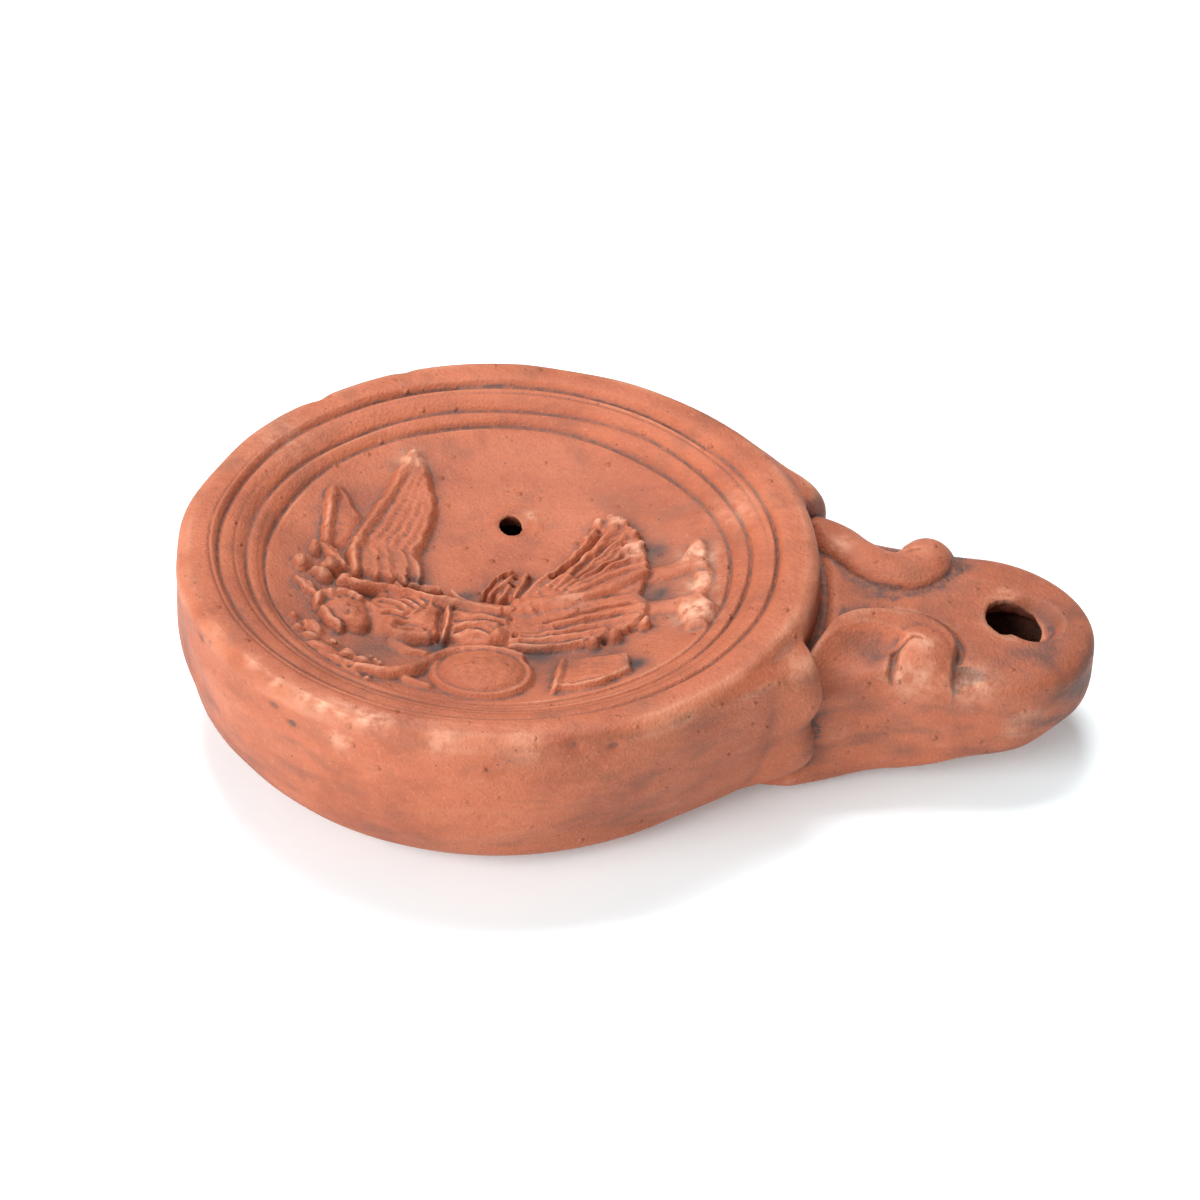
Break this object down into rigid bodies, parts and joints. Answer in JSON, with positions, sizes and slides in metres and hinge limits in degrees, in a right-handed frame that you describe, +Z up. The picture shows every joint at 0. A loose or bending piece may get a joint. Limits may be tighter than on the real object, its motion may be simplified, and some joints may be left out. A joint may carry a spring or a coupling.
{
  "type": "roman oil lamp",
  "caption": "Hollow fired-clay oil lamp with a sunken round discus carrying a winged figure in low relief, a volute nozzle, a wick hole and a filling hole.",
  "frame": {"origin": "centre of the round base's underside, on the body's axis", "axes": "+X along the nozzle, +Z up"},
  "size_m": [0.1168, 0.082, 0.025],
  "materials": {
    "terracotta": "matt fired clay with a grey wash in the hollows"
  },
  "bodies": {
    "root": {"lamp_body": "terracotta"}
  },
  "joints": []
}
